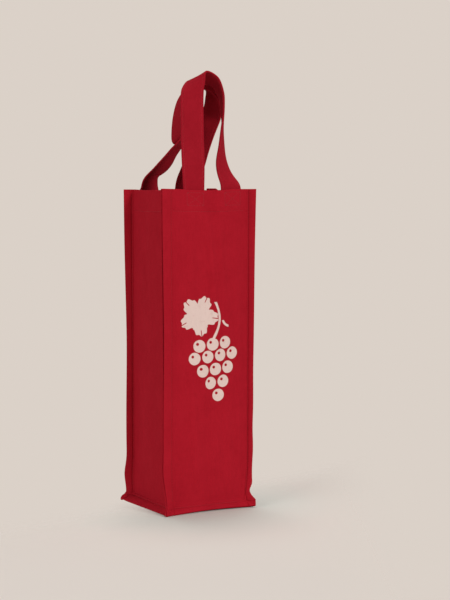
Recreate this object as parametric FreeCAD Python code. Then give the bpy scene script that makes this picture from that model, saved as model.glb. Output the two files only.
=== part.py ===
import FreeCAD, Part
import math
import os

V = FreeCAD.Vector

# Driving dimensions, in millimetres. X runs right along the front panel, Y to the back, Z up.
bag_width = 92.0         # across the outer faces of the two gussets, pinched edges left out
bag_depth = 92.0         # across the outer faces of the front and back panels
bag_height = 350.0       # floor to rim
cloth = 0.7              # one layer of canvas
edge_width = 11.0        # pinched edge, from the corner of the bag to its tip
edge_taper = 14.0        # height over which an upright edge narrows towards the base
edge_stub = 7.0          # width left of an upright edge at its narrow end
hem_depth = 25.0         # cloth turned in at the rim
strap_width = 25.0
strap_thick = 2.2
front_left_in = 18.0     # left leg of the front handle, in from the gusset, seen from the front
front_right_in = 4.0     # right leg of the front handle, in from the other gusset
back_left_in = 16.0      # left leg of the back handle, in from the gusset, seen from the back
back_right_in = 6.0      # right leg of the back handle, in from the other gusset
sewn_length = 20.0       # strap sewn down inside the hem
handle_rise = 124.0      # rim to the middle of the strap at the top of a handle
handle_apart = 1.0       # least distance from a handle to the mid plane of the bag
fold_clearance = 0.3     # between a sewn end and the loop that folds above it
thread_width = 0.6       # row of thread, across the row
thread_proud = 0.35      # row of thread, above the cloth
topstitch_in = 1.5       # topstitch row, from the corner of the bag along the pinched edge
seam_in = 4.0            # closing seam, from the tip of the pinched edge
seam_thick = 0.5         # closing seam, across the pinched edge
hem_row = 2.0            # hem stitching, above the lower edge of the hem
box_inset = 3.0          # box stitch, from the edges of the sewn strap
row_end = 3.0            # rows of thread stop this far from the ends of an edge

leaf = 2 * cloth
slant = math.sqrt(0.5)
base_z = edge_width * slant
root_z = base_z + leaf / slant
half_w = bag_width / 2
half_d = bag_depth / 2
rim_z = bag_height
hem_low = rim_z - hem_depth
edge_low = root_z + edge_taper
front_mid = (front_left_in - front_right_in) / 2
back_mid = (back_left_in - back_right_in) / 2
front_half = (bag_width - strap_width - front_left_in - front_right_in) / 2
back_half = (bag_width - strap_width - back_left_in - back_right_in) / 2


def prism(points, way):
    return Part.Face(Part.makePolygon(points + points[:1])).extrude(way)


def box(x0, x1, y0, y1, z0, z1):
    return Part.makeBox(x1 - x0, y1 - y0, z1 - z0, V(x0, y0, z0))


def flip(shape):
    """The same piece on the right of the panel."""
    return shape.mirror(V(0, 0, 0), V(1, 0, 0))


def turned(shape, side):
    """A piece made for the front, moved to a side of the bag counted clockwise from the front."""
    copy = shape.copy()
    copy.rotate(V(0, 0, 0), V(0, 0, 1), -90 * side)
    return copy


def on_edge(half, reach, along, out, z):
    """A place on the left pinched edge of a front panel: along it from the corner, out from its mid plane."""
    return V(-half - along * slant + out * slant, -reach - along * slant - out * slant, z)


def edge_bar(half, reach, along, out, width, thick, low, high):
    plan = [on_edge(half, reach, along + a * width / 2, out + o * thick, low)
            for a, o in ((-1, 0), (1, 0), (1, 1), (-1, 1))]
    return prism(plan, V(0, 0, high - low))


def on_base(reach, along, out):
    """A place on the pinched base edge of a front panel, out counting up from its mid plane."""
    return V(0, -reach - along * slant - out * slant, base_z - along * slant + out * slant)


def base_bar(half, reach, along, out, width, thick):
    section = [on_base(reach, along + a * width / 2, out + o * thick) + V(-half, 0, 0)
               for a, o in ((-1, 0), (1, 0), (1, 1), (-1, 1))]
    return prism(section, V(2 * half, 0, 0))


def wall(half, reach):
    """A side of the bag, made facing the front: with its hem and its half of the upright and base edges."""
    far = half + 3 * edge_width
    profile = [V(-far, -reach + cloth, base_z + cloth), V(-far, -reach - base_z, 0),
               V(-far, -reach - base_z - leaf / slant, 0), V(-far, -reach, root_z), V(-far, -reach, rim_z),
               V(-far, -reach + 2 * cloth, rim_z), V(-far, -reach + 2 * cloth, hem_low),
               V(-far, -reach + cloth, hem_low)]
    out = 2 * edge_width
    inn = 4 * cloth
    mitre = [V(-half - out, -reach - out, 0), V(half + out, -reach - out, 0),
             V(half - inn, -reach + inn, 0), V(-half + inn, -reach + inn, 0)]
    sheet = prism(profile, V(2 * far, 0, 0)).common(prism(mitre, V(0, 0, rim_z)))
    plan = [V(-half + leaf / slant, -reach, root_z), V(-half, -reach, root_z),
            on_edge(half, reach, edge_width, 0, root_z), on_edge(half, reach, edge_width, leaf, root_z)]
    upright = prism(plan, V(0, 0, rim_z - root_z))
    long = edge_width + leaf
    wedge = [on_edge(half, reach, edge_stub, -leaf, root_z), on_edge(half, reach, long, -leaf, root_z),
             on_edge(half, reach, long, -leaf, edge_low)]
    through = on_edge(half, reach, 0, 2 * leaf, 0) - on_edge(half, reach, 0, -leaf, 0)
    upright = upright.cut(prism(wedge, through))
    return sheet.fuse([upright, flip(upright)]).removeSplitter()


def strap_loop(stations):
    """A strap through stations: the middle of the strap, then the turn and tilt of its width in degrees."""
    lines = [[], [], [], []]
    along = [0.0]
    for i, (middle, turn, tilt) in enumerate(stations):
        before = stations[max(i - 1, 0)][0]
        after = stations[min(i + 1, len(stations) - 1)][0]
        run = after - before
        if i > 0:
            along.append(along[-1] + (middle - before).Length)
        level = math.cos(math.radians(tilt))
        across = V(level * math.cos(math.radians(turn)), level * math.sin(math.radians(turn)),
                   math.sin(math.radians(tilt))) * (strap_width / 2)
        if i in (0, len(stations) - 1):
            run = V(0, 0, run.z)
        through = run.cross(across).normalize() * (strap_thick / 2)
        for line, a, t in zip(lines, (-1, 1, 1, -1), (-1, -1, 1, 1)):
            line.append(middle + across * a + through * t)
    edges = []
    for line in lines:
        curve = Part.BSplineCurve()
        curve.interpolate(Points=line, Parameters=along)
        edges.append(curve.toShape())
    faces = [Part.makeRuledSurface(edges[k], edges[(k + 1) % 4], 1) for k in range(4)]
    for end in (0, -1):
        loop = [line[end] for line in lines]
        faces.append(Part.Face(Part.makePolygon(loop + loop[:1])))
    shell = Part.makeShell(faces)
    shell.sewShape()
    solid = Part.makeSolid(shell)
    return solid if solid.Volume > 0 else solid.reversed()


# Walls. The front and back panels carry the channels of the closing seams.
seam_end = half_w - row_end
corner_seam = edge_bar(half_w, half_d, edge_width - seam_in, 0, thread_width, seam_thick,
                       edge_low, rim_z - row_end)
front_seams = [corner_seam, flip(corner_seam)]
base_seam = base_bar(seam_end, half_d, edge_width - seam_in, 0, thread_width, seam_thick)
side_seam = base_bar(half_d - row_end, half_w, edge_width - seam_in, 0, thread_width, seam_thick)
front = wall(half_w, half_d).cut(front_seams + [base_seam])
side = wall(half_d, half_w).cut(side_seam)

# Base: a flat square with a pinched edge turned down all round to the floor.
def frustum(grow, top):
    low = Part.makePolygon([V(x * (half_w + base_z + grow), y * (half_d + base_z + grow), 0)
                            for x, y in ((-1, -1), (1, -1), (1, 1), (-1, 1), (-1, -1))])
    high = Part.makePolygon([V(x * (half_w + base_z + grow - top), y * (half_d + base_z + grow - top), top)
                             for x, y in ((-1, -1), (1, -1), (1, 1), (-1, 1), (-1, -1))])
    return Part.makeLoft([low, high], True, True)


base = frustum(0, base_z + cloth).cut(frustum(-leaf / slant, base_z))

# Rows of thread.
def corner_row(half, reach):
    return edge_bar(half, reach, topstitch_in, leaf, thread_width, thread_proud,
                    root_z + row_end, rim_z - row_end)


def base_rows(half, reach):
    top = base_bar(half - row_end, reach, topstitch_in, leaf, thread_width, thread_proud)
    under = base_bar(half - row_end, reach, topstitch_in, -leaf - thread_proud, thread_width, thread_proud)
    return Part.makeCompound([top, under])


def hem_rows(half, reach):
    z = hem_low + hem_row
    outer = box(-half + row_end, half - row_end, -reach - thread_proud, -reach,
                z - thread_width / 2, z + thread_width / 2)
    inner_y = -reach + 2 * cloth
    inner = box(-half + row_end, half - row_end, inner_y, inner_y + thread_proud,
                z - thread_width / 2, z + thread_width / 2)
    return Part.makeCompound([outer, inner])


# Sewn strap ends, made on the front.
sewn_y = -half_d + 2 * cloth


def sewn_end(x):
    return box(x - strap_width / 2, x + strap_width / 2, sewn_y, sewn_y + strap_thick,
               rim_z - sewn_length, rim_z)


def box_stitch(x, y):
    x0 = x - strap_width / 2 + box_inset
    x1 = x + strap_width / 2 - box_inset
    z0 = rim_z - sewn_length + box_inset
    z1 = rim_z - box_inset
    t = thread_width
    bars = [box(x0, x1, y, y + thread_proud, z0, z0 + t), box(x0, x1, y, y + thread_proud, z1 - t, z1),
            box(x0, x0 + t, y, y + thread_proud, z0, z1), box(x1 - t, x1, y, y + thread_proud, z0, z1)]
    for a, b in ((z0, z1), (z1, z0)):
        way = V(0, thread_proud, 0)
        rise = t if b > a else -t
        bars.append(prism([V(x0, y, a), V(x0 + t, y, a), V(x1, y, b - rise), V(x1, y, b), V(x1 - t, y, b),
                           V(x0, y, a + rise)], way))
    return bars[0].fuse(bars[1:]).removeSplitter()


def box_rows(x):
    return Part.makeCompound([box_stitch(x, -half_d - thread_proud), box_stitch(x, sewn_y + strap_thick)])


# Handle loops. A station gives X as a share of half the spacing of the legs, then the share of the way from
# the sewn plane to where a strap set edge-on stands beside the mid plane, the share of the rise, and the turn
# and tilt of the strap in degrees.
sewn_mid = half_d - 2 * cloth - strap_thick / 2
near_mid = strap_width / 2 + handle_apart


def stations(rows, middle, half, facing, left, right):
    foot = rim_z + fold_clearance
    placed = [(V(middle - half, facing * sewn_mid, foot), left, 0)]
    for x, share, rise, turn, tilt in rows:
        y = sewn_mid + share * (near_mid - sewn_mid)
        place = V(middle + x * half, facing * y, rim_z + rise * handle_rise)
        placed.append((place, turn, tilt))
    placed.append((V(middle + half, facing * sewn_mid, foot), right, 0))
    return placed


front_route = [
    (-0.91, 0.17, 0.20, -12, 0), (-0.80, 0.40, 0.44, -25, 0), (-0.67, 0.62, 0.66, -28, 0),
    (-0.56, 0.77, 0.82, -26, 0), (-0.49, 0.82, 0.89, -33, 5), (-0.33, 0.88, 0.96, -51, 11),
    (-0.16, 0.97, 1.00, -69, 16), (0.11, 1.03, 1.01, -83, 26), (0.44, 1.05, 0.99, -87, 30),
    (0.80, 1.05, 0.965, -89, 26), (1.02, 1.03, 0.915, -94, 18), (1.18, 1.00, 0.84, -99, 14),
    (1.24, 0.98, 0.74, -106, 8), (1.27, 0.97, 0.66, -111, 7), (1.18, 0.88, 0.53, -129, 0),
    (1.00, 0.68, 0.37, -140, 0), (0.82, 0.43, 0.24, -150, 0), (0.84, 0.15, 0.12, -167, 0)]
back_route = [
    (-0.96, 0.05, 0.07, 188, 6), (-0.78, 0.13, 0.14, 197, 12), (-0.47, 0.25, 0.20, 208, 12),
    (-0.16, 0.38, 0.27, 220, 4), (0.04, 0.54, 0.35, 228, -13), (0.04, 0.70, 0.42, 243, -26),
    (-0.04, 0.85, 0.51, 262, -18), (-0.02, 0.95, 0.62, 269, -8), (0.09, 0.98, 0.72, 270, -1),
    (0.33, 0.98, 0.83, 270, 0), (0.78, 0.98, 0.92, 270, 0), (1.31, 0.98, 0.945, 270, 0),
    (1.69, 0.98, 0.905, 272, -2), (1.91, 0.93, 0.825, 280, -8), (1.98, 0.83, 0.72, 293, -13),
    (1.84, 0.63, 0.54, 313, -20), (1.60, 0.42, 0.37, 328, -22), (1.29, 0.22, 0.19, 342, -20),
    (1.07, 0.07, 0.08, 354, -10)]

solids = {
    "front_panel": front,
    "back_panel": turned(front, 2),
    "left_gusset": turned(side, 1),
    "right_gusset": turned(side, 3),
    "base_panel": base,
    "front_handle_loop": strap_loop(stations(front_route, front_mid, front_half, -1, 0, -180)),
    "back_handle_loop": strap_loop(stations(back_route, -back_mid, back_half, 1, 180, 360)),
}
for leg, way in (("left", -1), ("right", 1)):
    front_x = front_mid + way * front_half
    back_x = back_mid - way * back_half
    solids["front_handle_%s_end" % leg] = sewn_end(front_x)
    solids["front_%s_box_stitch" % leg] = box_rows(front_x)
    solids["back_handle_%s_end" % leg] = turned(sewn_end(back_x), 2)
    solids["back_%s_box_stitch" % leg] = turned(box_rows(back_x), 2)

front_row = corner_row(half_w, half_d)
side_row = corner_row(half_d, half_w)
corners = {
    "front_left": [front_row, flip(turned(side_row, 3))],
    "front_right": [flip(front_row), turned(side_row, 3)],
    "back_left": [turned(flip(front_row), 2), turned(side_row, 1)],
    "back_right": [turned(front_row, 2), flip(turned(side_row, 1))],
}
for name, rows in corners.items():
    solids[name + "_edge_stitching"] = Part.makeCompound(rows)

for number, name in enumerate(("front", "left", "back", "right")):
    half, reach = (half_w, half_d) if number % 2 == 0 else (half_d, half_w)
    solids[name + "_base_stitching"] = turned(base_rows(half, reach), number)
    solids[name + "_hem_stitching"] = turned(hem_rows(half, reach), number)

solids["corner_closing_seams"] = Part.makeCompound(front_seams + [turned(s, 2) for s in front_seams])
solids["base_closing_seams"] = Part.makeCompound([base_seam, turned(side_seam, 1), turned(base_seam, 2),
                                                  turned(side_seam, 3)])

os.makedirs("parts", exist_ok=True)
for name, shape in solids.items():
    shape.exportStep("parts/%s.step" % name)
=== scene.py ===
import math

import bmesh
import bpy
import numpy as np
from mathutils import Matrix, Vector, noise


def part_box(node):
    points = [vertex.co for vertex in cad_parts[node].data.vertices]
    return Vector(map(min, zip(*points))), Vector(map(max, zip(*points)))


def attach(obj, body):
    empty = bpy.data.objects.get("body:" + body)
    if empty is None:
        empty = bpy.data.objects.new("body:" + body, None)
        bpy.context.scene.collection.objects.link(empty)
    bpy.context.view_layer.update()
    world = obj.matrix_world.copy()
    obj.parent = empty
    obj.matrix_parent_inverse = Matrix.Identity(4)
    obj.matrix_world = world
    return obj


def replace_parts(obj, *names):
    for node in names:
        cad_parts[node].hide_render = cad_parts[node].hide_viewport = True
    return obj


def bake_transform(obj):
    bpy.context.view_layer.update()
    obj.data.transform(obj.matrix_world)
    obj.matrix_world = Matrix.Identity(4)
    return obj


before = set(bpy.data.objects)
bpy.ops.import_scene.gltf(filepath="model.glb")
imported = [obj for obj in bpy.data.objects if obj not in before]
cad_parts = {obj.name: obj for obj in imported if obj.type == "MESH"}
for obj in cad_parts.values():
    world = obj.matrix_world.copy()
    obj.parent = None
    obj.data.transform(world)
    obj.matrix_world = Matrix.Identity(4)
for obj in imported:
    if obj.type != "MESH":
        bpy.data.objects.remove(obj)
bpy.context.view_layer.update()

# Sizes in metres. The main ones are read from the frame, and the rest are those of sewn canvas.
MM = 0.001
sewn_low, sewn_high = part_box("front_handle_left_end")
LAYER = 0.7 * MM                            # one layer of canvas
RIM = sewn_high.z
REACH = -sewn_low.y + 2 * LAYER             # middle of the bag to the outer face of a wall
FACE = REACH - LAYER                        # middle of the bag to the inner face of a wall
HEM_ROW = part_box("front_hem_stitching")[0].z
HEM_LOW = HEM_ROW - 2 * MM                  # lower edge of the cloth turned in at the rim
STRAP_WIDTH = sewn_high.x - sewn_low.x
STRAP_THICK = sewn_high.y - sewn_low.y
SEWN_LOW = sewn_low.z                       # lower end of a sewn strap
LEAF = 2 * LAYER                            # a wall's half of a pinched edge
LEAF_GAP = 0.03 * MM                        # from that half to the middle plane of the edge
TIP_OUT = 54.6 * MM - FACE                  # tip of an upright pinched edge, out from each of its two walls
EDGE = TIP_OUT * math.sqrt(2)               # length of cloth from the corner to that tip
ROOT_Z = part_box("base_panel")[1].z          # inner face of the base
TIP_Z = LEAF / 2                            # middle of the base's pinched edge at its tip
BASE_DROP = ROOT_Z - TIP_Z
BASE_EDGE = BASE_DROP * math.sqrt(2)
WALL_TALL = BASE_EDGE + RIM - ROOT_Z        # cloth from the base's tip up to the rim
WALL_HALF = FACE + EDGE                     # cloth from the middle of a wall to its tip
ROOT_BEND = 0.8 * MM                        # how softly a wall turns out into its pinched edges
TOPSTITCH = 2.6 * MM                        # row of stitches on a pinched edge, from its corner
GROOVE_DEEP = 0.7 * MM                      # the stitches pull the cloth in along that row
GROOVE_WIDE = 1.1 * MM
HEM_GROOVE_DEEP = 0.35 * MM
HEM_GROOVE_WIDE = 0.8 * MM
CLOSING = 4 * MM                            # hidden row inside a pinched edge, from its tip
STITCH_PITCH = 3 * MM
STITCH_LONG = 2.5 * MM
THREAD = 0.55 * MM
BOX_INSET = 3 * MM                          # box stitch, in from the edges of a sewn strap
STRAP_ROW = 2.6 * MM                        # stitches along a strap, in from its edge

UP = np.array((0.0, 0.0, 1.0))
WALLS = {"front": "front_panel", "left": "left_gusset", "back": "back_panel", "right": "right_gusset"}
RIGHTWARD = {"front": (1, 0, 0), "left": (0, -1, 0), "back": (-1, 0, 0), "right": (0, 1, 0)}
OUTWARD = {"front": (0, -1, 0), "left": (-1, 0, 0), "back": (0, 1, 0), "right": (1, 0, 0)}
ENDS = {"front": ("front_left", "front_right"), "left": ("back_left", "front_left"),
        "back": ("back_right", "back_left"), "right": ("front_right", "back_right")}
CORNER_WAY = {"front_left": (-1, -1), "front_right": (1, -1), "back_right": (1, 1), "back_left": (-1, 1)}

# How each pinched edge strays from straight: height and millimetres of extra width, from the rim down.
CORNER_STRAY = {
    "front_left": [(350, -1.4), (280, -2.2), (190, -2.8), (110, -2.6), (60, -2.4), (30, -2.4), (16, -3.0),
                   (8, -1.5)],
    "front_right": [(350, -1.9), (284, -3.3), (184, -4.5), (145, -5.0), (107, -5.1), (86, -5.6), (63, -5.2),
                    (42, -6.0), (31, -5.2), (25, -5.2), (20.5, -6.8), (15, -5.6), (9, 0.2)],
    "back_right": [(350, 0.5), (260, -0.8), (170, -1.4), (90, -1.8), (40, -2.0), (16, -4.0), (8, -2.5)],
    "back_left": [(350, -1.7), (284, -2.4), (230, -3.5), (184, -4.3), (120, -3.8), (63, -3.7), (46, -3.2),
                  (30, -1.2), (14, -2.6), (8, -2.6)],
}
EDGE_WAVE = 0.5 * MM                        # how far a pinched edge sways to and fro on its way up
EDGE_WAVE_LONG = 37 * MM
# Turn of each upright pinched edge about its corner, in degrees, anticlockwise from above.
CORNER_LEAN = {"front_left": -28, "front_right": 20, "back_right": 3, "back_left": 18}
# The ear of cloth where an upright edge meets the base's edges: how far it stands out and how far it is
# lifted, in millimetres, and how suddenly the upright edge turns into it.
CORNER_EAR = {"front_left": 1.2, "front_right": 0.8, "back_right": 0.4, "back_left": 3.0}
CORNER_CURL = {"front_left": 0.0, "front_right": 1.2, "back_right": 1.5, "back_left": 0.0}
CORNER_SNAP = {"front_left": 1.0, "front_right": 1.0, "back_right": 1.4, "back_left": 3.8}
EAR_SHARE = 0.94                            # its reach, of the full width of the edges that meet there
EAR_ROUND = 0.35                            # how round the cloth is between those edges, from 0 to 1
# How far a corner stands out of square above the base, in millimetres to the right and back.
CORNER_SHIFT = {"front_left": (0, 0), "front_right": (5.5, 5.5), "back_right": (0, 0), "back_left": (0, 0)}
SHIFT_WIDE = 7 * MM                         # cloth beside the corner that bends to follow it
FOOT_TALL = 40 * MM                         # above the base, where a corner reaches its full lean and shift
# How far in from a corner each wall's pinched edge begins, at the wall's left and right, in millimetres.
ROOT_IN = {"front": (3.0, 0.0), "left": (0.0, 0.5), "back": (1.0, 0.5), "right": (0.5, 1.0)}
# How far the base's pinched edge is lifted at the middle of each side, in millimetres, and its share of the
# full spread at the left, the middle and the right.
BASE_LIFT = {"front": 0.7, "left": 0.0, "back": 0.6, "right": 0.8}
BASE_SPREAD = {"front": (1.0, 0.4, 0.72), "left": (1.5, 1.2, 1.05), "back": (1.0, 0.8, 1.0),
               "right": (0.9, 0.7, 1.0)}
BASE_MIDDLE = 9 * MM                        # that middle, to the right of the middle of the wall
LIFT_WIDE = 1.15 * FACE                     # the lift ends this far from it
EDGE_PLUMP = 0.25 * MM                      # fullness of a pinched edge between its rows of stitches
EDGE_FULLEST = 0.62                         # where it is fullest, as a share of its width

# Outward swell of each wall in millimetres: at the rim, in the upper part and in the lower part.
SWELL = {"front": (0.6, 6.2, 2.4), "left": (0.2, 1.6, 1.4), "back": (0.4, 3.0, 2.2),
         "right": (0.3, 2.0, 1.6)}
SWELL_AT = [0, 20 * MM, 110 * MM, 230 * MM, 310 * MM, RIM]
# Depth of each wall's long upright creases in millimetres.
CREASE = {"front": 3.0, "left": 0.7, "back": 0.5, "right": 0.35}
PULL_DEEP = 0.7 * MM                        # creases that run down and outwards from a sewn strap
PULL_WIDE = 5 * MM
PULL_LONG = 30 * MM
DENT_DEEP = 1.9 * MM                        # hollow below the rim between two sewn straps
DENT_WIDE = 8 * MM
DENT_TALL = 48 * MM
STRAP_PUSH = 0.45 * MM                      # how far a sewn strap pushes out the cloth before it

# The rim is not quite level. Each rise is its height, then where along the wall it begins and where it is
# full, in millimetres.
RIM_RISE = {"front": [(1.0, 10, 40), (0.7, -15, -40)],
            "left": [(0.7, 15, 40), (0.8, -15, -45)],
            "back": [(0.8, 15, 45)],
            "right": [(2.6, 14, 22), (-1.82, 42, 52), (1.0, -25, -50)]}
RIM_WAVE = 0.3 * MM
RIM_WAVE_LONG = 21 * MM
RIM_BAND = 60 * MM                          # cloth below the rim that follows its rise


def soft_plus(x, radius):
    """0 well below 0 and x well above it, with a soft bend between."""
    return radius * np.logaddexp(0, x / radius)


def step(x, low, high):
    """0 below low, 1 above high, smooth between."""
    share = np.clip((x - low) / (high - low), 0, 1)
    return share * share * (3 - 2 * share)


def bump(x, middle, width):
    """1 at its middle, and soft on both sides down to 0."""
    return np.exp(-((x - middle) / width) ** 2)


def spline(knots, values, at):
    """A natural cubic through values at rising knots."""
    knots = np.asarray(knots, float)
    values = np.asarray(values, float)
    gaps = np.diff(knots)
    count = len(knots)
    system = np.eye(count)
    right = np.zeros_like(values)
    slopes = (np.diff(values, axis=0).T / gaps).T
    for i in range(1, count - 1):
        system[i, i - 1:i + 2] = gaps[i - 1], 2 * (gaps[i - 1] + gaps[i]), gaps[i]
        right[i] = 6 * (slopes[i] - slopes[i - 1])
    bend = np.linalg.solve(system, right)
    at = np.clip(at, knots[0], knots[-1])
    k = np.clip(np.searchsorted(knots, at, side="right") - 1, 0, count - 2)
    a = (knots[k + 1] - at) / gaps[k]
    b = 1 - a
    wide = gaps[k] ** 2 / 6
    if values.ndim > 1:
        a, b, wide = a[:, None], b[:, None], wide[:, None]
    return (a * values[k] + b * values[k + 1]
            + ((a ** 3 - a) * bend[k] + (b ** 3 - b) * bend[k + 1]) * wide)


def cloudy(x, y, seed, size):
    """Soft noise from -1 to 1 over a piece of cloth, with lumps of that size."""
    return np.array([noise.noise(Vector((a / size, b / size, seed))) for a, b in zip(x, y)])


def tip_vector(corner, z):
    """From the corner of the bag to the tip of its pinched edge, at a height."""
    table = CORNER_STRAY[corner][::-1]
    stray = spline([h * MM for h, _ in table], [w * MM for _, w in table], z)
    lean = math.radians(CORNER_LEAN[corner]) * np.clip((z - ROOT_Z) / FOOT_TALL, 0, 1)
    wave = EDGE_WAVE * np.sin(z / EDGE_WAVE_LONG + CORNER_LEAN[corner])
    turn = lean + wave / EDGE
    x, y = np.array(CORNER_WAY[corner]) / math.sqrt(2)
    turned = np.stack([x * np.cos(turn) - y * np.sin(turn), x * np.sin(turn) + y * np.cos(turn), 0 * z], 1)
    return turned * (EDGE + stray)[:, None]


def ear_vector(corner):
    """From the corner of the bag to the tip of the base's edge there."""
    way = np.array(CORNER_WAY[corner] + (0,), float)
    reach = EAR_SHARE * (TIP_OUT + CORNER_EAR[corner] * MM)
    return way * reach - UP * (BASE_DROP - CORNER_CURL[corner] * MM)


def skirt_vector(side, x):
    """From the foot of a wall to the tip of the base's edge, at places along that wall."""
    middle = np.cos(np.clip((x - BASE_MIDDLE) / LIFT_WIDE, -1, 1) * math.pi / 2)
    spread = BASE_DROP * spline([-FACE, BASE_MIDDLE, FACE], BASE_SPREAD[side], x)
    drop = BASE_DROP - BASE_LIFT[side] * MM * middle
    return np.array(OUTWARD[side], float) * spread[:, None] - UP * drop[:, None]


def strap_feet(side):
    """Where the two straps of a wall are sewn, across that wall."""
    if side in ("left", "right"):
        return []
    boxes = [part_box("%s_handle_%s_end" % (side, leg)) for leg in ("left", "right")]
    return sorted(RIGHTWARD[side][0] * (low.x + high.x) / 2 for low, high in boxes)


FEET = {side: strap_feet(side) for side in WALLS}


def ripples(side, s, z):
    """Broad lumps, small lumps and long upright creases, half as deep at the rim."""
    seed = 3.7 * len(side) + ord(side[0])
    broad = 0.9 * MM * cloudy(s, z * 0.6, seed, 45 * MM)
    small = 0.35 * MM * cloudy(s, z * 0.8, seed + 9, 16 * MM)
    creases = CREASE[side] * MM * cloudy(s + 0.06 * z, z * 0.14, seed + 21, 10 * MM)
    return (broad + small + creases) * (1 - 0.5 * step(z, RIM - 30 * MM, RIM))


def pull_creases(side, s, z):
    """Depth of the creases that run down and outwards from the lower corners of the sewn straps."""
    below = SEWN_LOW + 2 * MM - z
    fade = step(below, 0, 5 * MM) * (1 - step(below, 8 * MM, PULL_LONG))
    depth = 0 * s
    for foot in FEET[side]:
        for way in (-1, 1):
            beyond = way * (s - foot) - STRAP_WIDTH / 2
            depth = depth + PULL_DEEP * bump(beyond - below, 0, PULL_WIDE) * fade
    return depth


def swell(side, s, z):
    """How far a wall stands out from its flat plane."""
    rim, upper, lower = (v * MM for v in SWELL[side])
    high = spline(SWELL_AT, [0, 0.4 * lower, lower, upper, 0.6 * upper, rim], z)
    crown = np.cos(np.clip(np.abs(s) / FACE, 0, 1) * math.pi / 2)
    held = crown ** 0.8 * step(z, 2 * MM, 45 * MM)
    out = high * crown ** 0.85 + (ripples(side, s, z) - pull_creases(side, s, z)) * held
    if FEET[side]:
        gap = sum(FEET[side]) / 2
        out = out - DENT_DEEP * bump(s, gap, DENT_WIDE) * step(z, RIM - DENT_TALL, RIM - 4 * MM)
    return out


def strap_push(side, s, z):
    """The cloth stands proud over the sewn ends of the straps behind it."""
    half = STRAP_WIDTH / 2
    push = 0 * s
    for middle in FEET[side]:
        over = 1 - step(np.abs(s - middle), half - 1.5 * MM, half + 2.5 * MM)
        push = push + over * step(z, SEWN_LOW - 3 * MM, SEWN_LOW + 2 * MM)
    return STRAP_PUSH * push


def rim_lift(side, s):
    """How far the rim stands above its level."""
    lift = RIM_WAVE * np.sin(s / RIM_WAVE_LONG + len(side))
    for height, begin, full in RIM_RISE[side]:
        lift = lift + height * MM * step(s, begin * MM, full * MM)
    return lift


def root_of(side, s):
    """Where a wall turns out into a pinched edge, from the middle of that wall."""
    left, right = ROOT_IN[side]
    return FACE - np.where(s < 0, left, right) * MM


def skeleton(side, s, t):
    """The inner face of a wall, which runs on into the middle plane of its pinched edges."""
    out = np.array(OUTWARD[side], float)
    along = np.array(RIGHTWARD[side], float)
    fall = soft_plus(BASE_EDGE - t, ROOT_BEND)
    line_z = ROOT_Z + t - BASE_EDGE + fall
    low = fall / BASE_EDGE
    root = root_of(side, s)
    past = soft_plus(np.abs(s) - root, ROOT_BEND)
    x = np.sign(s) * (np.abs(s) - past)
    pinch = past / (WALL_HALF - root)
    on_left = (s < 0)[:, None]
    to_corner = along * (np.sign(s) * (FACE - root))[:, None]
    upright = np.where(on_left, *[tip_vector(end, line_z) for end in ENDS[side]]) + to_corner
    skirt = skirt_vector(side, x)
    ear = np.where(on_left, *[ear_vector(end) for end in ENDS[side]]) + to_corner
    snap = np.where(s < 0, *[CORNER_SNAP[end] for end in ENDS[side]])
    flared = np.clip(low, 0, 2) ** snap
    meet = (1 - EAR_ROUND) * np.minimum(pinch, flared) + EAR_ROUND * pinch * flared
    place = along * x[:, None] + out * (FACE + swell(side, x, line_z))[:, None] + UP * line_z[:, None]
    place = place + upright * pinch[:, None] + skirt * low[:, None]
    place = place + (ear - upright - skirt) * meet[:, None]
    lift = rim_lift(side, s) * step(line_z, RIM - RIM_BAND, RIM)
    shift = np.where(on_left, *[np.array(CORNER_SHIFT[end] + (0,)) * MM for end in ENDS[side]])
    near = np.clip(1 - (FACE - np.abs(x)) / SHIFT_WIDE, 0, 1) * step(line_z, ROOT_Z, ROOT_Z + FOOT_TALL)
    return place + UP * lift[:, None] + shift * near[:, None]


def normals_of(surface, a, b):
    """Unit normals of a surface, from small steps across and along it."""
    small = 0.15 * MM
    across = surface(a + small, b) - surface(a - small, b)
    along = surface(a, b + small) - surface(a, b - small)
    normal = np.cross(across, along)
    return normal / np.linalg.norm(normal, axis=1)[:, None]


def round_end(distance, radius):
    """Rises from 0 at an edge to 1 one radius in, as a half round does."""
    share = 1 - np.clip(distance / radius, 0, 1)
    return np.sqrt(np.clip(1 - share * share, 0, 1))


def wall_layers(side, s, t):
    """Offsets of the outer and the inner face from the skeleton."""
    z = ROOT_Z + t - BASE_EDGE
    past = np.abs(s) - root_of(side, s)
    under = BASE_EDGE - t
    pinched = np.maximum(step(past, -0.2 * MM, 1.6 * MM), step(under, -0.2 * MM, 1.6 * MM))
    full = np.maximum(bump(past, EDGE_FULLEST * EDGE, 0.3 * EDGE),
                      bump(under, EDGE_FULLEST * BASE_EDGE, 3 * MM))
    groove = np.maximum(bump(past, TOPSTITCH, GROOVE_WIDE), bump(under, TOPSTITCH, GROOVE_WIDE))
    hem_groove = bump(z, HEM_ROW, HEM_GROOVE_WIDE) * (past < 0)
    sunk = np.maximum(GROOVE_DEEP * groove, HEM_GROOVE_DEEP * hem_groove)
    outer = LAYER + pinched * (LEAF - LAYER + EDGE_PLUMP * full) - sunk + strap_push(side, s, z)
    hem = step(z, HEM_LOW - 0.3 * MM, HEM_LOW + 0.3 * MM) * (1 - step(past, -2.5 * MM, -0.6 * MM))
    inner = LEAF_GAP * pinched - LAYER * hem
    return outer, inner


def wall_normals(side, s, t):
    return normals_of(lambda a, b: skeleton(side, a, b), s, t)


def both_faces(place, normal, outer, inner, edge):
    """Points on both faces of a panel, from offsets that close in a half round at its cut edges."""
    middle = (outer + inner) / 2
    half = (outer - inner) / 2 * round_end(edge, LEAF / 2)
    return place + normal * (middle + half)[:, None], place + normal * (middle - half)[:, None], normal


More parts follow.
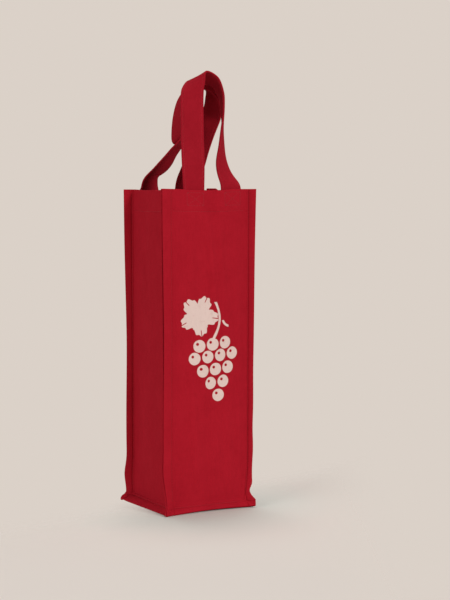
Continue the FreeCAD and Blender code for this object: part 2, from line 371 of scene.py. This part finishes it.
def wall_faces(side, s, t):
    """Points on the outer and inner faces of a wall, and the outward normals between them."""
    outer, inner = wall_layers(side, s, t)
    edge = np.minimum(WALL_HALF - np.abs(s), np.minimum(t, WALL_TALL - t))
    return both_faces(skeleton(side, s, t), wall_normals(side, s, t), outer, inner, edge)


def marks(*runs):
    """Rising places along one direction of a sheet: each run is its far end and its longest step."""
    places = [runs[0][0]]
    for end, longest in runs[1:]:
        start = places[-1]
        count = max(1, math.ceil((end - start) / longest - 1e-9))
        places += [start + (end - start) * (i + 1) / count for i in range(count)]
    return np.array(places)


INSIDE_UV = 1.0                             # the inner face of a sheet lies this far along its UV map


def sheet_mesh(name, columns, rows, faces):
    """A closed sheet of cloth: a grid on its outer face and a copy on its inner, joined at the edges."""
    bm = bmesh.new()
    uv = bm.loops.layers.uv.new("UVMap")
    bmesh.ops.create_grid(bm, x_segments=len(columns) - 1, y_segments=len(rows) - 1, size=1)
    flat = np.array([v.co for v in bm.verts])
    a = columns[np.rint((flat[:, 0] + 1) / 2 * (len(columns) - 1)).astype(int)]
    b = rows[np.rint((flat[:, 1] + 1) / 2 * (len(rows) - 1)).astype(int)]
    for face in bm.faces:
        for loop in face.loops:
            loop[uv].uv = (a[loop.vert.index], b[loop.vert.index])
    front = list(bm.verts)
    copy = bmesh.ops.duplicate(bm, geom=bm.verts[:] + bm.edges[:] + bm.faces[:])
    inside = [g for g in copy["geom"] if isinstance(g, bmesh.types.BMFace)]
    bmesh.ops.reverse_faces(bm, faces=inside)
    for face in inside:
        for loop in face.loops:
            loop[uv].uv.x += INSIDE_UV
    outer, inner = faces(a, b)[:2]
    for vert, near, far in zip(front, outer, inner):
        copy["vert_map"][vert].co = far
        vert.co = near
    bmesh.ops.remove_doubles(bm, verts=bm.verts, dist=0.002 * MM)
    return finish_mesh(name, bm)


def finish_mesh(name, bm):
    """A piece with smooth faces from a finished bmesh, which is freed."""
    for face in bm.faces:
        face.smooth = True
    mesh = bpy.data.meshes.new(name)
    bm.to_mesh(mesh)
    bm.free()
    piece = bpy.data.objects.new(name, mesh)
    bpy.context.scene.collection.objects.link(piece)
    return piece


# Stitches

def one_stitch():
    bm = bmesh.new()
    size = Matrix.Diagonal((THREAD / 2, THREAD * 0.32, STITCH_LONG / 2, 1))
    bmesh.ops.create_uvsphere(bm, u_segments=6, v_segments=5, radius=1, matrix=size)
    mesh = bpy.data.meshes.new("stitch")
    bm.to_mesh(mesh)
    bm.free()
    return mesh


STITCH = one_stitch()


def stitch_mesh(name, rows):
    """Short rounded stitches. Each row holds points along a line, and the normals of the cloth there."""
    bm = bmesh.new()
    for points, normals in rows:
        gaps = np.linalg.norm(np.diff(points, axis=0), axis=1)
        reach = np.concatenate([[0], np.cumsum(gaps)])
        count = max(1, int(round(reach[-1] / STITCH_PITCH)))
        for i in range(count):
            ends = [(i + 0.5) * reach[-1] / count + k * STITCH_LONG / 2 for k in (-1, 0, 1)]
            place = np.stack([np.interp(ends, reach, points[:, k]) for k in range(3)], 1)
            normal = Vector([np.interp(ends[1], reach, normals[:, k]) for k in range(3)]).normalized()
            run = Vector(place[2] - place[0]).normalized()
            side = normal.cross(run).normalized()
            turn = Matrix((side, run.cross(side), run)).transposed().to_4x4()
            mesh = STITCH.copy()
            mesh.transform(Matrix.Translation(place[1]) @ turn)
            bm.from_mesh(mesh)
            bpy.data.meshes.remove(mesh)
    return finish_mesh(name, bm)


def wall_row(side, s, t, inside=False):
    """Points along a line on one face of a wall, and the normals of that face."""
    s, t = np.broadcast_arrays(np.asarray(s, float), np.asarray(t, float))
    outer, inner, normal = wall_faces(side, s.copy(), t.copy())
    return (inner, -normal) if inside else (outer, normal)


def at_height(z):
    """The place of a height along the cloth of a wall, from the tip of the base's edge."""
    return z - ROOT_Z + BASE_EDGE


# Straps

# The way of each strap from its left sewn end over to its right one. Each place is X as a share of half the
# spacing of the sewn ends, the share of the way in from the sewn plane to NEAR_MID, the share of
# HANDLE_RISE, and the turn and the tilt of the strap's width in degrees.
FRONT_ROUTE = [
    (-0.91, 0.17, 0.20, -16, 0), (-0.80, 0.40, 0.44, -27, 0), (-0.67, 0.62, 0.66, -28, 0),
    (-0.56, 0.77, 0.82, -26, 0), (-0.49, 0.82, 0.89, -33, 5), (-0.33, 0.88, 0.955, -51, 11),
    (-0.16, 0.97, 0.99, -69, 16), (0.11, 1.03, 1.00, -83, 26), (0.44, 1.05, 0.995, -88, 22),
    (0.82, 1.04, 0.965, -93, 14), (1.05, 1.02, 0.915, -100, 8), (1.22, 0.99, 0.83, -106, 6),
    (1.26, 0.97, 0.74, -110, 6), (1.27, 0.96, 0.66, -114, 4), (1.18, 0.88, 0.53, -122, 0),
    (1.00, 0.68, 0.37, -132, 0), (0.83, 0.43, 0.24, -146, 0), (0.85, 0.15, 0.12, -161, 0),
    (0.98, 0.02, 0.045, -176, 0)]
BACK_ROUTE = [
    (-0.98, 0.01, 0.026, 195, -3), (-0.98, 0.033, 0.073, 200, -9), (-0.91, 0.083, 0.12, 207, -4),
    (-0.64, 0.143, 0.169, 217, 8), (-0.39, 0.233, 0.218, 222, 18), (-0.13, 0.367, 0.284, 227, 21),
    (0.03, 0.55, 0.352, 230, 13), (0.27, 0.697, 0.422, 231, 5), (0.27, 0.773, 0.447, 249, 17),
    (0.09, 0.817, 0.459, 270, 24), (0.00, 0.867, 0.516, 274, 11), (-0.02, 0.95, 0.609, 272, -3),
    (0.05, 0.98, 0.71, 270, -2), (0.22, 1.08, 0.823, 270, 0), (0.74, 1.15, 0.927, 270, 0),
    (1.34, 1.15, 0.944, 271, 0), (1.78, 1.15, 0.90, 277, -2), (1.95, 1.107, 0.82, 302, -10),
    (2.00, 0.89, 0.718, 308, -14), (1.73, 0.63, 0.54, 311, -20), (1.47, 0.42, 0.37, 328, -22),
    (1.26, 0.22, 0.19, 342, -21), (1.07, 0.06, 0.08, 354, -14)]
# How far a strap's two edges cup, in millimetres, and one edge turns under, in degrees, by share of its
# length.
CUP = {"front": [(0, 0), (0.2, -0.3), (0.5, -0.5), (0.8, -0.6), (1, 0)],
       "back": [(0, 0), (0.2, -0.6), (0.4, -0.4), (0.55, -0.6), (0.68, -1.5), (0.82, -1.2), (1, 0)]}
CURL = {"front": [(0, 0), (1, 0)],
        "back": [(0, 0), (0.39, 0), (0.45, 80), (0.5, 95), (0.57, 95), (0.61, 75), (0.645, 30), (0.67, 0),
                 (1, 0)]}
CUP_LEVEL = 0.33                            # taken off, so that a cupped strap keeps its mean place
CURL_FROM = 5.5 * MM                        # where the turned edge begins, from the middle of the strap
CURL_BEND = 3 * MM                          # and the cloth that its bend takes up
FREE_ABOVE = 25 * MM                        # a strap no longer follows its wall this far above the rim
STRAP_GROOVE_DEEP = 0.22 * MM
STRAP_GROOVE_WIDE = 0.7 * MM
HANDLE_RISE = 124 * MM                      # rim to the middle of the strap at the top of a handle
NEAR_MID = STRAP_WIDTH / 2 + 1 * MM         # a strap set edge-on stands this far from the mid plane


def strap_stations(side, route, turns):
    """Middles and half widths of a strap, from one sewn end over the handle to the other."""
    facing = OUTWARD[side][1]
    ends = [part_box("%s_handle_%s_end" % (side, leg)) for leg in ("left", "right")]
    feet = [(low.x + high.x) / 2 for low, high in ends]
    sewn = abs(ends[0][0].y + ends[0][1].y) / 2
    middle = sum(feet) / 2
    half = (feet[1] - feet[0]) / 2
    rows = [(-1, 0, z, turns[0], 0) for z in (SEWN_LOW - RIM, (SEWN_LOW - RIM) / 2, -BOX_INSET)]
    rows += [(x, share, rise * HANDLE_RISE, turn, tilt) for x, share, rise, turn, tilt in route]
    rows += [(1, 0, z, turns[1], 0) for z in (-BOX_INSET, (SEWN_LOW - RIM) / 2, SEWN_LOW - RIM)]
    middles, acrosses = [], []
    for x, share, z, turn, tilt in rows:
        y = facing * (sewn + share * (NEAR_MID - sewn))
        middles.append((middle + x * half, y, RIM + z))
        turn, tilt = math.radians(turn), math.radians(tilt)
        acrosses.append((math.cos(tilt) * math.cos(turn), math.cos(tilt) * math.sin(turn), math.sin(tilt)))
    return np.array(middles), np.array(acrosses) * STRAP_WIDTH / 2


class Strap:
    """A strap as a surface: across it in metres from its middle, and along it from one sewn end."""

    def __init__(self, side, route, turns):
        self.side = side
        middles, acrosses = strap_stations(side, route, turns)
        gaps = np.sqrt(np.linalg.norm(np.diff(middles, axis=0), axis=1))
        knots = np.concatenate([[0], np.cumsum(gaps)])
        fine = np.linspace(0, knots[-1], 2000)
        line = spline(knots, middles, fine)
        self.reach = np.concatenate([[0], np.cumsum(np.linalg.norm(np.diff(line, axis=0), axis=1))])
        self.line = line
        wide = spline(knots, acrosses, fine)
        self.wide = wide / np.linalg.norm(wide, axis=1)[:, None]
        self.facing = np.cross(self.wide, np.gradient(line, axis=0))
        self.facing = self.facing / np.linalg.norm(self.facing, axis=1)[:, None]
        self.long = self.reach[-1]
        self.cup = np.array(CUP[side])
        self.curl = np.array(CURL[side])

    def skeleton(self, q, r):
        """The surface midway through the strap. Near the rim it follows the swell of its wall."""
        past = np.maximum(r - self.long, 0) + np.minimum(r, 0)
        r = np.clip(r, 0, self.long)
        place = np.stack([np.interp(r, self.reach, self.line[:, k]) for k in range(3)], 1)
        wide = np.stack([np.interp(r, self.reach, self.wide[:, k]) for k in range(3)], 1)
        turn = np.maximum(np.radians(np.interp(r / self.long, self.curl[:, 0], self.curl[:, 1])), 1e-4)
        bent = turn * np.clip(q - CURL_FROM, 0, CURL_BEND) / CURL_BEND
        rest = np.maximum(q - CURL_FROM - CURL_BEND, 0)
        level = np.minimum(q, CURL_FROM) + np.sin(bent) * CURL_BEND / turn + rest * np.cos(turn)
        under = (1 - np.cos(bent)) * CURL_BEND / turn + rest * np.sin(turn)
        place = place + wide * level[:, None] - UP * np.abs(past)[:, None]
        z = np.clip(place[:, 2], 0, RIM)
        s = place[:, 0] * RIGHTWARD[self.side][0]
        sewn = 1 - step(place[:, 2], RIM, RIM + FREE_ABOVE)
        drift = swell(self.side, s, z) * sewn
        hollow = (2 * q / STRAP_WIDTH) ** 2 - CUP_LEVEL
        cup = spline(self.cup[:, 0], self.cup[:, 1] * MM, r / self.long) * hollow
        facing = np.stack([np.interp(r, self.reach, self.facing[:, k]) for k in range(3)], 1)
        place = place + np.array(OUTWARD[self.side], float) * drift[:, None]
        return place + facing * (cup * (1 - sewn) - under)[:, None]

    def faces(self, q, r):
        place = self.skeleton(q, r)
        normal = normals_of(self.skeleton, q, r)
        inside = STRAP_WIDTH / 2 - np.abs(q)
        half = STRAP_THICK / 2 - STRAP_GROOVE_DEEP * bump(inside, STRAP_ROW, STRAP_GROOVE_WIDE)
        edge = np.minimum(inside, np.minimum(r, self.long - r))
        half = half * round_end(edge, STRAP_THICK / 2)
        return place + normal * half[:, None], place - normal * half[:, None], normal

    def row(self, q, r, inside=False):
        q, r = np.broadcast_arrays(np.asarray(q, float), np.asarray(r, float))
        outer, inner, normal = self.faces(q.copy(), r.copy())
        return (inner, -normal) if inside else (outer, normal)


# Finishes

class Value:
    """A socket of a finish, with the arithmetic that its shader needs."""

    def __init__(self, finish, socket):
        self.finish = finish
        self.socket = socket

    def math(self, operation, *others):
        terms = dict(enumerate((self,) + others))
        return self.finish.add("ShaderNodeMath", {"operation": operation}, terms)

    def __add__(self, other):
        return self.math("ADD", other)

    def __sub__(self, other):
        return self.math("SUBTRACT", other)

    def __rsub__(self, other):
        return (self * -1) + other

    def __mul__(self, other):
        return self.math("MULTIPLY", other)

    def __truediv__(self, other):
        return self.math("DIVIDE", other)

    __radd__ = __add__
    __rmul__ = __mul__

    def over(self, low, high):
        """0 below low, 1 above high, smooth between."""
        settings = {"interpolation_type": "SMOOTHSTEP"}
        return self.finish.add("ShaderNodeMapRange", settings, {0: self, 1: low, 2: high})


class Finish:
    """A material, or the world's, built node by node."""

    def __init__(self, owner):
        self.owner = owner
        self.owner.use_nodes = True
        self.tree = self.owner.node_tree
        self.tree.nodes.clear()

    def add(self, kind, settings=None, sockets=None, output=0):
        """A node of any kind, with its settings and the values or links of its sockets."""
        node = self.tree.nodes.new(kind)
        for key, value in (settings or {}).items():
            setattr(node, key, value)
        for key, value in (sockets or {}).items():
            if isinstance(value, Value):
                self.tree.links.new(value.socket, node.inputs[key])
            else:
                node.inputs[key].default_value = value
        return Value(self, node.outputs[output] if len(node.outputs) else None)

    def mix(self, share, a, b):
        return self.add("ShaderNodeMix", {"data_type": "RGBA"}, {0: share, 6: a, 7: b}, 2)

    def parts(self, vector):
        split = self.add("ShaderNodeSeparateXYZ", None, {0: vector})
        return [Value(self, socket) for socket in split.socket.node.outputs]

    def surface(self, shader, output="ShaderNodeOutputMaterial"):
        self.add(output, None, {"Surface": shader})
        return self.owner


def material(name):
    return Finish(bpy.data.materials.new(name))


def vine(f, across, along):
    """A bunch of grapes under a leaf, in flat ink on the front. Places are in millimetres on the cloth."""
    x = across / MM
    y = along / MM
    spot = f.add("ShaderNodeCombineXYZ", None, {0: x, 1: y})

    def from_point(a, b):
        return f.add("ShaderNodeVectorMath", {"operation": "DISTANCE"}, {0: spot, 1: (a, b, 0)}, 1)

    ink = None
    for row, count in enumerate((3, 4, 3, 2, 1)):
        for k in range(count):
            a = 3 + 15.4 * (k - (count - 1) / 2) + 2.2 * row
            b = 184 - 13.6 * row + 1.6 * k
            grape = 1 - from_point(a, b).over(6.5, 7.1)
            glint = 1 - from_point(a - 2.2, b + 2.2).over(1.3, 1.9)
            grape = grape * (1 - glint)
            ink = grape if ink is None else ink.math("MAXIMUM", grape)
    leaf_x = x + 13
    leaf_y = y - 217
    angle = leaf_y.math("ARCTAN2", leaf_x)
    reach = (leaf_x * leaf_x + leaf_y * leaf_y).math("SQRT")
    lobes = ((angle * 2.5 + 0.4).math("COSINE").math("ABSOLUTE")) * 8 + 14
    teeth = (angle * 21).math("SINE") * 0.8
    leaf = 1 - (reach - lobes - teeth).over(-0.4, 0.4)
    vein = ((angle * 2.5 + 0.4).math("SINE").math("ABSOLUTE") * reach).over(0.9, 1.5)
    leaf = leaf * vein.math("MAXIMUM", 1 - reach.over(15, 17))
    stem = (x - 6 - ((y - 196) / 11).math("SINE") * 5).math("ABSOLUTE")
    stem = (1 - stem.over(1.2, 1.8)) * y.over(189, 190) * (1 - y.over(231, 232))
    tail = (from_point(24, 214) - 9).math("ABSOLUTE")
    tail = (1 - tail.over(0.9, 1.5)) * (1 - from_point(16, 205).over(6, 7))
    return ink.math("MAXIMUM", leaf).math("MAXIMUM", stem).math("MAXIMUM", tail)


INK = (0.80, 0.64, 0.575, 1)
SLUB_LONG = 30                              # length of a yarn's thick and thin stretches, in its widths


def slub(f, across, along):
    """Thick and thin stretches of the yarns that run one way."""
    spot = f.add("ShaderNodeCombineXYZ", None, {0: across, 1: along})
    return f.add("ShaderNodeTexNoise", {"noise_dimensions": "2D"},
                 {"Vector": spot, "Scale": 1.0, "Detail": 2.0})


def cotton(name, colour, dark, weave, yarn, motif=None):
    """Dyed cotton: a plain weave that follows the cloth, thick and thin yarns, soft uneven dye, and painted
    shade in the hollows of the weave.
    """
    f = material(name)
    across, along, _ = f.parts(f.add("ShaderNodeUVMap", {"uv_map": "UVMap"}))
    u = across / weave
    v = along / weave
    warp = (u * math.pi).math("SINE").math("ABSOLUTE")
    weft = (v * math.pi).math("SINE").math("ABSOLUTE")
    over = ((v + u.math("FLOOR")) * math.pi).math("COSINE") * 0.5 + 0.5
    under = ((u + v.math("FLOOR") + 1) * math.pi).math("COSINE") * 0.5 + 0.5
    cloth = (warp * over).math("MAXIMUM", weft * under)
    slub_u = slub(f, across / yarn, along / (yarn * SLUB_LONG))
    slub_v = slub(f, across / (yarn * SLUB_LONG), along / yarn)
    body = f.add("ShaderNodeTexCoord", None, None, 3)
    cloud = f.add("ShaderNodeTexNoise", None, {"Vector": body, "Scale": 38.0, "Detail": 4.0})
    blot = f.add("ShaderNodeTexNoise", None, {"Vector": body, "Scale": 210.0, "Detail": 3.0})
    # Uneven dye and thick and thin yarns, plus painted shade: the hollows between the yarns are painted
    # darker.
    dye_and_weave_shade = (slub_u + slub_v - 1) * 0.55 + (cloud - 0.5) * 0.7 + (blot - 0.5) * 0.5 + (1 - cloth) * 0.28
    tone = f.mix(dye_and_weave_shade.over(-0.35, 0.75), colour, dark)
    if motif:
        cover = 0.98 - (1 - cloth) * 0.14 - blot.over(0.55, 0.8) * 0.12
        tone = f.mix(motif(f, across, along) * cover, tone, INK)
    height = cloth * 0.7 + (slub_u + slub_v) * 0.5
    normal = f.add("ShaderNodeBump", None, {"Strength": 0.6, "Distance": 0.12 * MM, "Height": height})
    rough = cloud * 0.1 + 0.85
    skin = f.add("ShaderNodeBsdfPrincipled", None, {
        "Base Color": tone, "Roughness": rough, "Normal": normal, "Specular IOR Level": 0.06})
    return f.surface(skin)


def sewing_thread(name, colour, dark):
    f = material(name)
    body = f.add("ShaderNodeTexCoord", None, None, 3)
    grain = f.add("ShaderNodeTexNoise", None, {"Vector": body, "Scale": 900.0, "Detail": 2.0})
    tone = f.mix(grain.over(0.3, 0.7), colour, dark)
    normal = f.add("ShaderNodeBump", None, {"Strength": 0.4, "Distance": 0.1 * MM, "Height": grain})
    skin = f.add("ShaderNodeBsdfPrincipled", None, {
        "Base Color": tone, "Roughness": grain * 0.2 + 0.5, "Normal": normal, "Specular IOR Level": 0.3})
    return f.surface(skin)


CANVAS_RED = (0.425, 0.0095, 0.0215, 1)
CANVAS_DARK = (0.345, 0.0065, 0.0155, 1)
STRAP_RED = (0.35, 0.0085, 0.019, 1)
STRAP_DARK = (0.285, 0.006, 0.014, 1)
THREAD_RED = (0.40, 0.009, 0.02, 1)
THREAD_DARK = (0.30, 0.006, 0.014, 1)
canvas = cotton("red_canvas", CANVAS_RED, CANVAS_DARK, weave=0.62 * MM, yarn=0.5 * MM)
printed = cotton("printed_red_canvas", CANVAS_RED, CANVAS_DARK, weave=0.62 * MM, yarn=0.5 * MM, motif=vine)
webbing = cotton("red_strap_cloth", STRAP_RED, STRAP_DARK, weave=0.55 * MM, yarn=0.45 * MM)
thread = sewing_thread("red_thread", THREAD_RED, THREAD_DARK)


# Bag

def dress(piece, finish, body="bag"):
    """Gives a piece its finish and the body that it rides on, if it is only one."""
    piece.data.materials.append(finish)
    if body:
        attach(piece, body)
    return piece


COLUMNS = marks((-WALL_HALF, 0), (-WALL_HALF + LEAF / 2, 0.12 * MM), (-WALL_HALF + LEAF, 0.35 * MM),
                (-FACE - 4 * MM, 0.9 * MM), (-FACE + 2 * MM, 0.4 * MM), (-FACE + 10 * MM, 1 * MM),
                (FACE - 10 * MM, 2 * MM), (FACE - 2 * MM, 1 * MM), (FACE + 4 * MM, 0.4 * MM),
                (WALL_HALF - LEAF, 0.9 * MM), (WALL_HALF - LEAF / 2, 0.35 * MM), (WALL_HALF, 0.12 * MM))
ROWS = marks((0, 0), (LEAF / 2, 0.12 * MM), (LEAF, 0.35 * MM), (BASE_EDGE - 4 * MM, 0.9 * MM),
             (BASE_EDGE + 2 * MM, 0.4 * MM), (at_height(40 * MM), 1.3 * MM),
             (at_height(HEM_LOW - 2 * MM), 2.6 * MM), (at_height(HEM_LOW + 4 * MM), 0.35 * MM),
             (WALL_TALL - LEAF, 1.3 * MM), (WALL_TALL - LEAF / 2, 0.35 * MM), (WALL_TALL, 0.12 * MM))

walls = {}
for side, node in WALLS.items():
    piece = sheet_mesh(node + "_cloth", COLUMNS, ROWS, lambda a, b, side=side: wall_faces(side, a, b))
    dress(piece, printed if side == "front" else canvas)
    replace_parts(piece, node)
    walls[side] = piece
for side, piece in walls.items():
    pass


BASE_SAG = 1.2 * MM                         # how far the middle of the base hangs below its edges


def base_faces(u, v):
    """The base: flat, with a pinched edge turned down all round that lies under the walls' own."""
    inner_share = FACE / (FACE + BASE_EDGE)
    ring = np.maximum(np.abs(u), np.abs(v))
    flat = np.stack([u, v, 0 * u], 1)
    crown = np.cos(np.clip(flat[:, :2] / inner_share, -1, 1) * math.pi / 2)
    place = flat / inner_share * FACE
    place[:, 2] = ROOT_Z - BASE_SAG * crown[:, 0] * crown[:, 1]
    normal = np.tile(-UP, (len(u), 1))
    for side in WALLS:
        out = np.array(OUTWARD[side], float)
        along = np.array(RIGHTWARD[side], float)
        mine = (np.abs(flat @ out - ring) < 1e-9) & (ring > inner_share)
        if not mine.any():
            continue
        low = (ring[mine] - inner_share) / (1 - inner_share)
        lateral = (flat @ along)[mine]
        past = np.clip((np.abs(lateral) - inner_share) / (1 - inner_share), 0, 1)
        s = np.sign(lateral) * np.minimum(np.abs(lateral) / inner_share, 1) * FACE
        corner_s = np.sign(lateral) * (FACE + past * EDGE)
        s = np.where(past > 0, corner_s, s)
        t = (1 - low) * BASE_EDGE
        place[mine] = skeleton(side, s, t)
        normal[mine] = -wall_normals(side, s, t)
    pinched = step(ring, inner_share, inner_share + 0.02)
    outer = LAYER + pinched * (LEAF - LAYER)
    inner = LEAF_GAP * pinched
    edge = (1 - ring) * (FACE + BASE_EDGE)
    return both_faces(place, normal, outer, inner, edge)


floor_share = marks((-1, 0), (-0.976, 0.0022), (-0.79, 0.012), (0.79, 0.05), (0.976, 0.012), (1, 0.0022))
base = sheet_mesh("base_panel_cloth", floor_share, floor_share, base_faces)
bm = bmesh.new()
bm.from_mesh(base.data)
bmesh.ops.recalc_face_normals(bm, faces=bm.faces)
bm.to_mesh(base.data)
bm.free()
dress(base, canvas)
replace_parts(base, "base_panel")

# Strap pieces
straps = {"front": Strap("front", FRONT_ROUTE, (0, -180)), "back": Strap("back", BACK_ROUTE, (180, 360))}
strap_pieces = {}
for side, strap in straps.items():
    half = STRAP_WIDTH / 2
    across = marks((-half, 0), (-half + STRAP_THICK / 2, 0.16 * MM), (-half + 5 * MM, 0.5 * MM),
                   (half - 5 * MM, 2.2 * MM), (half - STRAP_THICK / 2, 0.5 * MM), (half, 0.16 * MM))
    along = marks((0, 0), (STRAP_THICK / 2, 0.16 * MM), (strap.long - STRAP_THICK / 2, 1.6 * MM),
                  (strap.long, 0.16 * MM))
    piece = sheet_mesh(side + "_handle_strap", across, along, strap.faces)
    dress(piece, webbing, None)
    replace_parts(piece, side + "_handle_loop", side + "_handle_left_end", side + "_handle_right_end")
    strap_pieces[side] = piece
    rows = [strap.row(way * (half - STRAP_ROW), np.linspace(2 * MM, strap.long - 2 * MM, 400), inside)
            for way in (-1, 1) for inside in (False, True)]
    stitches = stitch_mesh(side + "_strap_stitching", rows)
    strap_pieces[side + "_rows"] = dress(stitches, thread, None)

# Rows of stitches
tall = np.linspace(BASE_EDGE + 6 * MM, WALL_TALL - 3 * MM, 160)
wide = np.linspace(-FACE + 3 * MM, FACE - 3 * MM, 60)
for corner in CORNER_WAY:
    rows = []
    for side, ends in ENDS.items():
        for way, end in zip((-1, 1), ends):
            if end == corner:
                rows.append(wall_row(side, way * (root_of(side, way) + TOPSTITCH), tall))
    piece = dress(stitch_mesh(corner + "_edge_stitches", rows), thread)
    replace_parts(piece, corner + "_edge_stitching")
for side in WALLS:
    hem = at_height(HEM_ROW)
    rows = [wall_row(side, wide, hem), wall_row(side, wide, hem, True)]
    piece = dress(stitch_mesh(side + "_hem_stitches", rows), thread)
    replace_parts(piece, side + "_hem_stitching")
    low = BASE_EDGE - TOPSTITCH
    points, normals = wall_row(side, wide, low)
    under = skeleton(side, wide, low + 0 * wide) - normals * LEAF
    rows = [(points, normals), (under, -normals)]
    piece = dress(stitch_mesh(side + "_base_stitches", rows), thread)
    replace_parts(piece, side + "_base_stitching")
rows = []
for side in ("front", "back"):
    for way in (-1, 1):
        across = way * (WALL_HALF - CLOSING) + 0 * tall
        rows.append((skeleton(side, across, tall), wall_normals(side, across, tall)))
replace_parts(dress(stitch_mesh("corner_closing_stitches", rows), thread), "corner_closing_seams")
rows = []
for side in WALLS:
    low = CLOSING + 0 * wide
    rows.append((skeleton(side, wide, low), wall_normals(side, wide, low)))
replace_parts(dress(stitch_mesh("base_closing_stitches", rows), thread), "base_closing_seams")

# Box stitches: four sides and two diagonals, as shares of half the box's width and of its height.
BOX_LINES = [((-1, 0), (1, 0)), ((1, 0), (1, 1)), ((1, 1), (-1, 1)), ((-1, 1), (-1, 0)),
             ((-1, 0), (1, 1)), ((1, 0), (-1, 1))]


def box_rows(side, leg):
    """Rows of one box stitch, on the wall outside and on the sewn strap inside."""
    strap = straps[side]
    low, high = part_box("%s_handle_%s_end" % (side, leg))
    middle = (low.x + high.x) / 2 * RIGHTWARD[side][0]
    inward = -np.array(OUTWARD[side], float)
    rows = []
    for begin, end in BOX_LINES:
        across = np.linspace(begin[0], end[0], 20) * (STRAP_WIDTH / 2 - BOX_INSET)
        up = BOX_INSET + np.linspace(begin[1], end[1], 20) * (RIM - SEWN_LOW - 2 * BOX_INSET)
        rows.append(wall_row(side, middle + across, at_height(SEWN_LOW + up)))
        on_strap = (across, up) if leg == "left" else (-across, strap.long - up)
        points, normals = strap.row(*on_strap)
        if normals[0] @ inward <= 0:
            points, normals = strap.row(*on_strap, inside=True)
        rows.append((points, normals))
    return rows


for side in straps:
    for leg in ("left", "right"):
        stitches = stitch_mesh("%s_%s_box_stitches" % (side, leg), box_rows(side, leg))
        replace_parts(dress(stitches, thread), "%s_%s_box_stitch" % (side, leg))

# Each strap and its rows of stitches keep their places in their own meshes. The bend at the rim, from the
# sewn ends to the loop, is in the strap's shape.
for side in straps:
    for key in (side, side + "_rows"):
        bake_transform(strap_pieces[key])


# Camera, at the place from which the bag was seen.
VIEW_TURN = math.radians(-28.33)
VIEW_RISE = math.radians(3.6)
VIEW_FAR = 1.645
VIEW_SIDE = 0.0405                          # the camera aims this far right of the middle of the bag
VIEW_HIGH = 0.2284
VIEW_LENS = 88.85
back = Vector((math.sin(VIEW_TURN) * math.cos(VIEW_RISE), -math.cos(VIEW_TURN) * math.cos(VIEW_RISE),
               math.sin(VIEW_RISE)))
right = Vector((math.cos(VIEW_TURN), math.sin(VIEW_TURN), 0))
camera = bpy.data.objects.new("camera", bpy.data.cameras.new("camera"))
bpy.context.scene.collection.objects.link(camera)
camera.data.lens = VIEW_LENS
camera.location = right * VIEW_SIDE + Vector((0, 0, VIEW_HIGH)) + back * VIEW_FAR
camera.rotation_euler = back.to_track_quat("Z", "Y").to_euler()
bpy.context.scene.camera = camera

# Floor, backdrop and light.
BACKDROP = (0.708, 0.638, 0.578, 1)
FLOOR_TONE = (0.752, 0.684, 0.624, 1)
# FLOOR_BESIDE is a painted correction: the floor next to the bag is painted less red, to cancel the red
# light that its cloth throws there.
FLOOR_BESIDE = (0.70, 0.722, 0.656, 1)      # beside the bag, where its cloth reddens the light
BEHIND_WAY = (-0.29, 0.96)                  # the two ways in which the floor fades out, as X and Y
ASIDE_WAY = (0.88, -0.47)
LIGHT_ABOVE = (0.215, 0.215, 0.215, 1)
LIGHT_BELOW = (0.6, 0.56, 0.52, 1)          # from the pale floor further off
studio = Finish(bpy.data.worlds.new("studio"))
rays = [studio.add("ShaderNodeLightPath", None, None, "Is %s Ray" % kind)
        for kind in ("Camera", "Glossy", "Transmission")]
seen = studio.add("ShaderNodeBackground", None, {"Color": BACKDROP})
height = studio.parts(studio.add("ShaderNodeTexCoord"))[2]
around = studio.mix(height.over(-0.3, 0.05), LIGHT_BELOW, LIGHT_ABOVE)
fill = studio.add("ShaderNodeBackground", None, {"Color": around})
shown = rays[0].math("MAXIMUM", rays[1]).math("MAXIMUM", rays[2])
bpy.context.scene.world = studio.surface(
    studio.add("ShaderNodeMixShader", None, {0: shown, 1: fill, 2: seen}), "ShaderNodeOutputWorld")


def pale_floor():
    """Plain, pale, painted less red beside the bag to cancel the cloth's red light; behind the bag and to
    its right it fades into the backdrop.
    """
    f = material("pale_floor")
    place = f.add("ShaderNodeTexCoord", None, None, 3)
    x, y, _ = f.parts(place)
    away = f.add("ShaderNodeVectorMath", {"operation": "LENGTH"}, {0: place}, 1)
    behind = x * BEHIND_WAY[0] + y * BEHIND_WAY[1]
    aside = x * ASIDE_WAY[0] + y * ASIDE_WAY[1]
    grain = f.add("ShaderNodeTexNoise", None, {"Vector": place, "Scale": 3.0})
    tone = f.mix(grain.over(0.3, 0.7), FLOOR_TONE, tuple(c * 1.01 for c in FLOOR_TONE[:3]) + (1,))
    # Painted correction: beside the bag the floor is painted less red, to cancel the red light that the
    # cloth throws on it.
    tone = f.mix(away.over(0.055, 0.19), FLOOR_BESIDE, tone)
    matt = f.add("ShaderNodeBsdfDiffuse", None, {"Color": tone})
    clear = f.add("ShaderNodeBsdfTransparent")
    gone = away.over(0.5, 0.95).math("MAXIMUM", behind.over(-0.055, 0.075))
    gone = gone.math("MAXIMUM", aside.over(0.09, 0.24))
    return f.surface(f.add("ShaderNodeMixShader", None, {0: gone, 1: matt, 2: clear}))


bm = bmesh.new()
bmesh.ops.create_circle(bm, cap_ends=True, segments=96, radius=1.0)
floor = finish_mesh("floor", bm)
floor.data.materials.append(pale_floor())


def lamp(name, turn, rise, spread, strength):
    """Even light from one way, in degrees: its turn to the right of the front, its rise and its spread."""
    light = bpy.data.lights.new(name, "SUN")
    light.angle = math.radians(spread)
    light.energy = strength
    place = bpy.data.objects.new(name, light)
    bpy.context.scene.collection.objects.link(place)
    turn, rise = math.radians(turn), math.radians(rise)
    way = Vector((math.sin(turn) * math.cos(rise), -math.cos(turn) * math.cos(rise), math.sin(rise)))
    place.rotation_euler = way.to_track_quat("Z", "Y").to_euler()


lamp("key", 17, 26, 14, 1.81)
lamp("left_fill", -80, 15, 40, 1.03)
lamp("top", 160, 77, 24, 1.2)

bpy.context.scene.view_settings.view_transform = "Standard"
